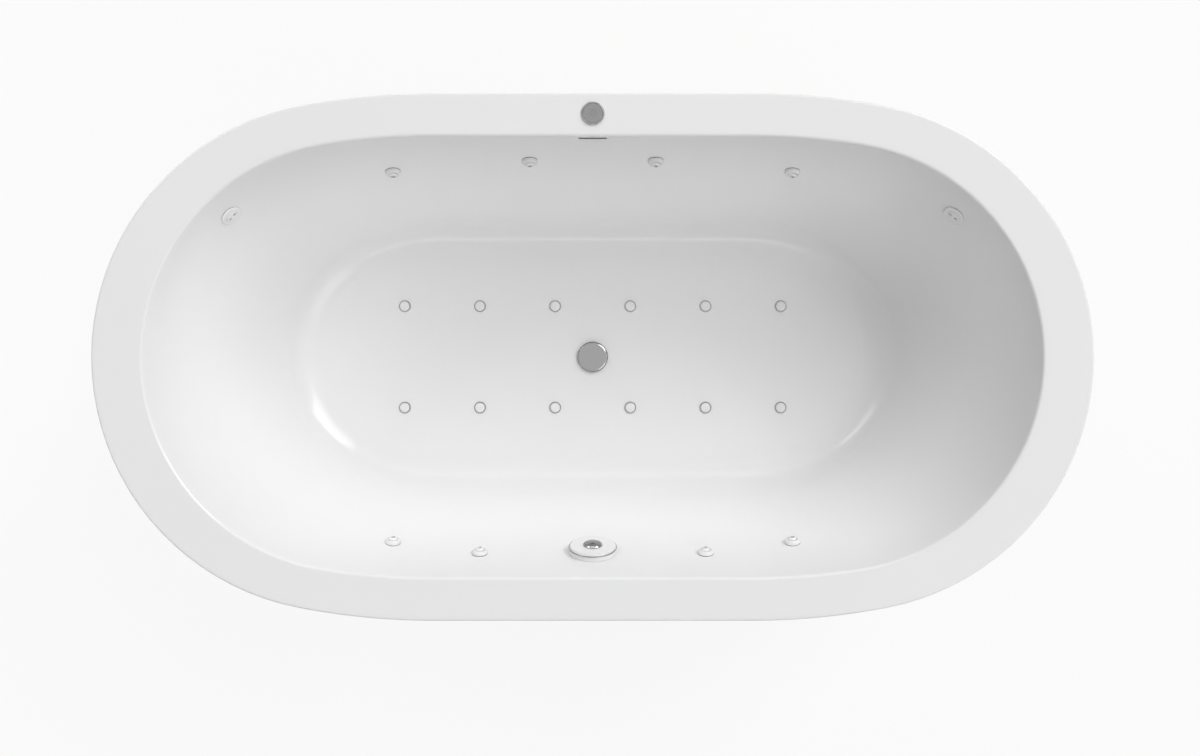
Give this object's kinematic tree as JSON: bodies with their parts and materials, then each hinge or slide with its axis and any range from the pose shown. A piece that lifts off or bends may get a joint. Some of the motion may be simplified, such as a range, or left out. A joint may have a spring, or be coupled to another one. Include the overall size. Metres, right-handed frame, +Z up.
{
  "type": "jetted bathtub",
  "caption": "Oval drop-in bathtub with floor air jets, swivelling wall jets, push button, pop-up waste, pump and blower on a levelling frame.",
  "frame": {"origin": "on the floor under the middle of the tub, at the underside of the foot pads", "axes": "+X along the tub's length, +Y to the back, the side of the button and overflow slot, +Z up"},
  "size_m": [1.9, 1, 0.584],
  "materials": {
    "acrylic": "glossy white sanitary acrylic",
    "glass_fibre": "rough translucent glass-fibre laminate",
    "timber_board": "raw chipboard and pine",
    "frame_paint": "grey powder coat",
    "zinc_steel": "zinc plated steel",
    "stainless": "ground stainless steel",
    "chrome_trim": "polished chrome",
    "seal_rubber": "black rubber",
    "pipe_plastic": "white pipe plastic",
    "fitting_plastic": "glossy white fitting plastic",
    "nut_plastic": "pale moulded plastic",
    "dark_plastic": "black moulded plastic",
    "motor_alloy": "cast aluminium",
    "button_grey": "grey plastic button",
    "box_plastic": "grey moulded plastic",
    "clear_hose": "clear flexible tube"
  },
  "bodies": {
    "tub": {"tub_shell": "acrylic", "glass_fibre_backing": "glass_fibre", "base_board": "timber_board", "support_frame": "frame_paint", "rim_battens": "timber_board", "foot_lock_nuts": "zinc_steel", "drain_flange": "chrome_trim", "waste_body": "pipe_plastic", "waste_trap": "pipe_plastic", "overflow_duct": "pipe_plastic", "overflow_pipe": "pipe_plastic", "side_jet_sockets": "fitting_plastic", "end_jet_sockets": "fitting_plastic", "jet_gaskets": "seal_rubber", "jet_nuts": "nut_plastic", "jet_housings": "nut_plastic", "water_ring_main": "pipe_plastic", "air_jet_caps": "fitting_plastic", "air_jet_bodies": "chrome_trim", "air_jet_nuts": "nut_plastic", "air_manifold": "pipe_plastic", "air_riser": "pipe_plastic", "suction_cover": "fitting_plastic", "suction_trim_ring": "chrome_trim", "suction_centre_cap": "chrome_trim", "suction_body": "pipe_plastic", "suction_pipe": "pipe_plastic", "pump_volute": "dark_plastic", "pump_motor": "motor_alloy", "pump_fan_cover": "dark_plastic", "blower_housing": "dark_plastic", "blower_lid": "dark_plastic", "machine_screws": "zinc_steel", "button_bezel": "chrome_trim", "button_spring": "stainless", "button_air_chamber": "dark_plastic", "control_box": "box_plastic", "air_switch_tube": "clear_hose"},
    "foot_1": {"foot_1": "zinc_steel"},
    "foot_2": {"foot_2": "zinc_steel"},
    "foot_3": {"foot_3": "zinc_steel"},
    "foot_4": {"foot_4": "zinc_steel"},
    "drain_plug": {"drain_plug": "chrome_trim", "plug_seal": "seal_rubber"},
    "side_nozzle_1": {"side_nozzle_1": "fitting_plastic"},
    "side_nozzle_2": {"side_nozzle_2": "fitting_plastic"},
    "side_nozzle_3": {"side_nozzle_3": "fitting_plastic"},
    "side_nozzle_4": {"side_nozzle_4": "fitting_plastic"},
    "side_nozzle_5": {"side_nozzle_5": "fitting_plastic"},
    "side_nozzle_6": {"side_nozzle_6": "fitting_plastic"},
    "side_nozzle_7": {"side_nozzle_7": "fitting_plastic"},
    "side_nozzle_8": {"side_nozzle_8": "fitting_plastic"},
    "end_rotor_1": {"end_rotor_1": "fitting_plastic"},
    "end_rotor_2": {"end_rotor_2": "fitting_plastic"},
    "button_cap": {"button_cap": "button_grey"},
    "air_check_balls": {"air_check_balls": "seal_rubber"},
    "pump_rotor": {"pump_impeller": "nut_plastic", "pump_shaft": "stainless", "pump_fan": "dark_plastic"},
    "blower_rotor": {"blower_impeller": "nut_plastic"}
  },
  "joints": [
    {"name": "foot_1_levelling", "type": "slide", "parent": "tub", "child": "foot_1", "axis": [0, 0, -1], "range_m": [-0.01, 0.015]},
    {"name": "foot_2_levelling", "type": "slide", "parent": "tub", "child": "foot_2", "axis": [0, 0, -1], "range_m": [-0.01, 0.015]},
    {"name": "foot_3_levelling", "type": "slide", "parent": "tub", "child": "foot_3", "axis": [0, 0, -1], "range_m": [-0.01, 0.015]},
    {"name": "foot_4_levelling", "type": "slide", "parent": "tub", "child": "foot_4", "axis": [0, 0, -1], "range_m": [-0.01, 0.015]},
    {"name": "drain_plug_lift", "type": "slide", "parent": "tub", "child": "drain_plug", "axis": [0, 0, 1], "range_m": [0, 0.009]},
    {"name": "side_nozzle_1_swivel", "type": "hinge", "parent": "tub", "child": "side_nozzle_1", "pos_m": [-0.40263, 0.37139, 0.43101], "axis": [0.9939, 0.1099, 0], "range_deg": [-15, 15]},
    {"name": "side_nozzle_2_swivel", "type": "hinge", "parent": "tub", "child": "side_nozzle_2", "pos_m": [-0.125, 0.38699, 0.46793], "axis": [1, 0, 0], "range_deg": [-15, 15]},
    {"name": "side_nozzle_3_swivel", "type": "hinge", "parent": "tub", "child": "side_nozzle_3", "pos_m": [0.125, 0.38699, 0.46793], "axis": [1, 0, 0], "range_deg": [-15, 15]},
    {"name": "side_nozzle_4_swivel", "type": "hinge", "parent": "tub", "child": "side_nozzle_4", "pos_m": [0.40263, 0.37139, 0.43101], "axis": [0.9939, -0.1099, 0], "range_deg": [-15, 15]},
    {"name": "side_nozzle_5_swivel", "type": "hinge", "parent": "tub", "child": "side_nozzle_5", "pos_m": [-0.40263, -0.37139, 0.43101], "axis": [-0.9939, 0.1099, 0], "range_deg": [-15, 15]},
    {"name": "side_nozzle_6_swivel", "type": "hinge", "parent": "tub", "child": "side_nozzle_6", "pos_m": [-0.224, -0.38699, 0.46793], "axis": [-1, 0, 0], "range_deg": [-15, 15]},
    {"name": "side_nozzle_7_swivel", "type": "hinge", "parent": "tub", "child": "side_nozzle_7", "pos_m": [0.224, -0.38699, 0.46793], "axis": [-1, 0, 0], "range_deg": [-15, 15]},
    {"name": "side_nozzle_8_swivel", "type": "hinge", "parent": "tub", "child": "side_nozzle_8", "pos_m": [0.40263, -0.37139, 0.43101], "axis": [-0.9939, -0.1099, 0], "range_deg": [-15, 15]},
    {"name": "end_rotor_1_spin", "type": "hinge", "parent": "tub", "child": "end_rotor_1", "pos_m": [-0.707, 0.2771, 0.503], "axis": [0.6547, -0.6734, 0.3434], "continuous": true},
    {"name": "end_rotor_2_spin", "type": "hinge", "parent": "tub", "child": "end_rotor_2", "pos_m": [0.707, 0.2771, 0.503], "axis": [-0.6547, -0.6734, 0.3434], "continuous": true},
    {"name": "button_press", "type": "slide", "parent": "tub", "child": "button_cap", "axis": [0, 0, -1], "range_m": [0, 0.004], "stiffness_N_per_m": 600, "springref_m": -0.003, "deforming": ["button_spring"]},
    {"name": "air_check_ball_lift", "type": "slide", "parent": "tub", "child": "air_check_balls", "axis": [0, 0, 1], "range_m": [0, 0.005]},
    {"name": "pump_rotor_spin", "type": "hinge", "parent": "tub", "child": "pump_rotor", "pos_m": [0.808, 0, 0.2], "axis": [0, 1, 0], "continuous": true},
    {"name": "blower_rotor_spin", "type": "hinge", "parent": "tub", "child": "blower_rotor", "pos_m": [-0.808, 0, 0.16], "axis": [0, 0, 1], "continuous": true}
  ]
}
